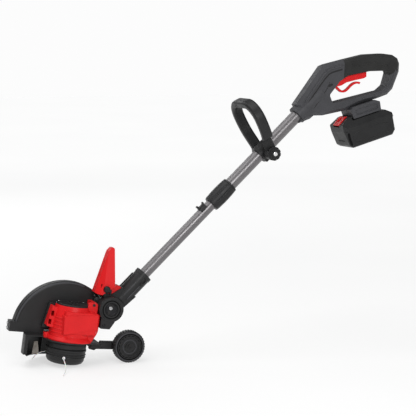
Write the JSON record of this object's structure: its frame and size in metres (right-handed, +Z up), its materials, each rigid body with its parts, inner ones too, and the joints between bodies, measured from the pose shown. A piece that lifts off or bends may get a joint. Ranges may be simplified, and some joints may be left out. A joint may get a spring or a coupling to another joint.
{
  "type": "string trimmer",
  "caption": "Cordless string trimmer with telescoping shaft, tilting motor head, half-disc guard, edging wheel, foot pedal, adjustable front bail and slide-on battery.",
  "frame": {"origin": "middle of the rear grip, where the hand that works the trigger holds it", "axes": "+X from the motor head towards the rear grip, level with the ground; +Y towards the guard's side of the tool; +Z up, with the spool and wheel on level ground"},
  "size_m": [0.9201, 0.199, 0.6657],
  "materials": {
    "tube_paint": "satin",
    "slate_plastic": "matte, fine texture",
    "black_plastic": "matte, fine texture",
    "grip_rubber": "matte",
    "red_plastic": "satin",
    "ring_plastic": "satin",
    "steel": "brushed",
    "black_steel": "blackened",
    "blade_steel": "dull",
    "bright_metal": "polished",
    "terminal_brass": "plain",
    "copper_rotor": "lacquered winding",
    "board": "satin",
    "cell_wrap": "gloss",
    "line_nylon": "satin"
  },
  "bodies": {
    "rear_unit": {"rear_shell_near": "slate_plastic", "rear_shell_far": "slate_plastic", "grip_overmould": "grip_rubber", "rear_screws": "black_steel", "trigger_pin": "steel", "switch_block": "black_plastic", "battery_dock": "slate_plastic", "dock_terminals": "terminal_brass", "upper_tube": "tube_paint", "clamp_bush": "black_plastic", "front_bracket": "black_plastic", "bracket_screw": "black_steel"},
    "trigger": {"trigger": "red_plastic"},
    "lock_lever": {"lock_lever": "red_plastic"},
    "battery": {"battery_case": "black_plastic", "battery_lid": "black_plastic", "battery_cells": "cell_wrap", "battery_board": "board", "battery_screws": "steel"},
    "battery_latch": {"battery_latch": "red_plastic"},
    "front_handle": {"front_loop": "black_plastic", "clamp_nut": "steel"},
    "clamp_knob": {"clamp_knob": "black_plastic", "clamp_bolt": "bright_metal"},
    "locking_collar": {"locking_collar": "black_plastic"},
    "swivel": {"swivel_bush": "black_plastic"},
    "lower_shaft": {"lower_tube": "tube_paint", "tube_hook": "black_plastic", "neck_socket": "black_plastic", "neck_screws": "black_steel"},
    "tilt_button": {"tilt_button": "red_plastic"},
    "head": {"head_bracket": "black_plastic", "tilt_pin": "black_steel", "index_ring": "ring_plastic", "motor_shell_front": "red_plastic", "motor_shell_rear": "black_plastic", "vent_cap": "black_plastic", "motor_can": "steel", "motor_bearings": "steel", "housing_screws": "black_steel", "base_flange": "black_plastic", "guard": "black_plastic", "guard_skirt": "black_plastic", "guard_screws": "steel", "line_cutter": "blade_steel", "wheel_arm": "black_plastic", "wheel_axle": "black_steel", "pedal_pin": "black_steel"},
    "foot_pedal": {"foot_pedal": "red_plastic"},
    "lock_plunger": {"lock_plunger": "black_plastic"},
    "edge_wheel": {"edge_wheel": "black_plastic"},
    "spool_head": {"rotor": "copper_rotor", "cooling_fan": "black_plastic", "spool_housing": "black_plastic", "spool_cap": "black_plastic", "line_eyelets": "bright_metal", "line_end_near": "line_nylon", "line_end_far": "line_nylon"},
    "bump_reel": {"line_spool": "black_plastic"}
  },
  "joints": [
    {"name": "trigger_pull", "type": "hinge", "parent": "rear_unit", "child": "trigger", "pos_m": [-0.093, 0, -0.043], "axis": [0, -1, 0], "range_deg": [0, 6], "stiffness_Nm_per_rad": 0.4, "springref_deg": -14.32},
    {"name": "lock_lever_squeeze", "type": "hinge", "parent": "rear_unit", "child": "lock_lever", "pos_m": [-0.093, 0, -0.043], "axis": [0, -1, 0], "range_deg": [0, 3], "stiffness_Nm_per_rad": 0.2, "springref_deg": -11.46},
    {"name": "battery_slide", "type": "slide", "parent": "rear_unit", "child": "battery", "axis": [-0.9613, 0, -0.2756], "range_m": [0, 0.1]},
    {"name": "battery_latch_press", "type": "slide", "parent": "battery", "child": "battery_latch", "axis": [0.2756, 0, -0.9613], "range_m": [0, 0.003], "stiffness_N_per_m": 1500, "springref_m": -0.001},
    {"name": "front_handle_tilt", "type": "hinge", "parent": "rear_unit", "child": "front_handle", "pos_m": [-0.25208, 0, -0.19625], "axis": [0, 1, 0], "range_deg": [-40, 30]},
    {"name": "clamp_knob_turn", "type": "hinge", "parent": "front_handle", "child": "clamp_knob", "pos_m": [-0.25208, 0, -0.19625], "axis": [0, 1, 0], "continuous": true},
    {"name": "collar_turn", "type": "hinge", "parent": "rear_unit", "child": "locking_collar", "pos_m": [-0.36, 0, -0.288], "axis": [0.7314, 0, 0.682], "range_deg": [0, 60]},
    {"name": "shaft_swivel", "type": "hinge", "parent": "rear_unit", "child": "swivel", "pos_m": [-0.36, 0, -0.288], "axis": [0.7314, 0, 0.682], "range_deg": [0, 180]},
    {"name": "shaft_telescope", "type": "slide", "parent": "swivel", "child": "lower_shaft", "axis": [-0.7314, 0, -0.682], "range_m": [0, 0.15]},
    {"name": "tilt_button_press", "type": "slide", "parent": "lower_shaft", "child": "tilt_button", "axis": [0.682, 0, -0.7314], "range_m": [0, 0.0025], "stiffness_N_per_m": 1200, "springref_m": -0.001},
    {"name": "head_tilt", "type": "hinge", "parent": "lower_shaft", "child": "head", "pos_m": [-0.62699, 0, -0.52316], "axis": [0, 1, 0], "range_deg": [-45, 0]},
    {"name": "pedal_press", "type": "hinge", "parent": "head", "child": "foot_pedal", "pos_m": [-0.63272, 0, -0.48083], "axis": [0, 1, 0], "range_deg": [-25, 0], "stiffness_Nm_per_rad": 0.6, "springref_deg": 20.05},
    {"name": "plunger_lift", "type": "slide", "parent": "head", "child": "lock_plunger", "axis": [0.1495, 0, 0.9888], "range_m": [0, 0.00301]},
    {"name": "wheel_spin", "type": "hinge", "parent": "head", "child": "edge_wheel", "pos_m": [-0.58698, 0, -0.60769], "axis": [0, 1, 0], "continuous": true},
    {"name": "spool_spin", "type": "hinge", "parent": "head", "child": "spool_head", "pos_m": [-0.724, 0, -0.643], "axis": [0.1495, 0, 0.9888], "continuous": true, "deforming": ["line_end_near", "line_end_far"]},
    {"name": "bump_press", "type": "slide", "parent": "spool_head", "child": "bump_reel", "axis": [0.1495, 0, 0.9888], "range_m": [0, 0.004], "stiffness_N_per_m": 1500, "springref_m": -0.002}
  ],
  "couplings": [
    {"joint": "plunger_lift", "follows": "pedal_press", "m_per_rad": -0.0068755}
  ]
}
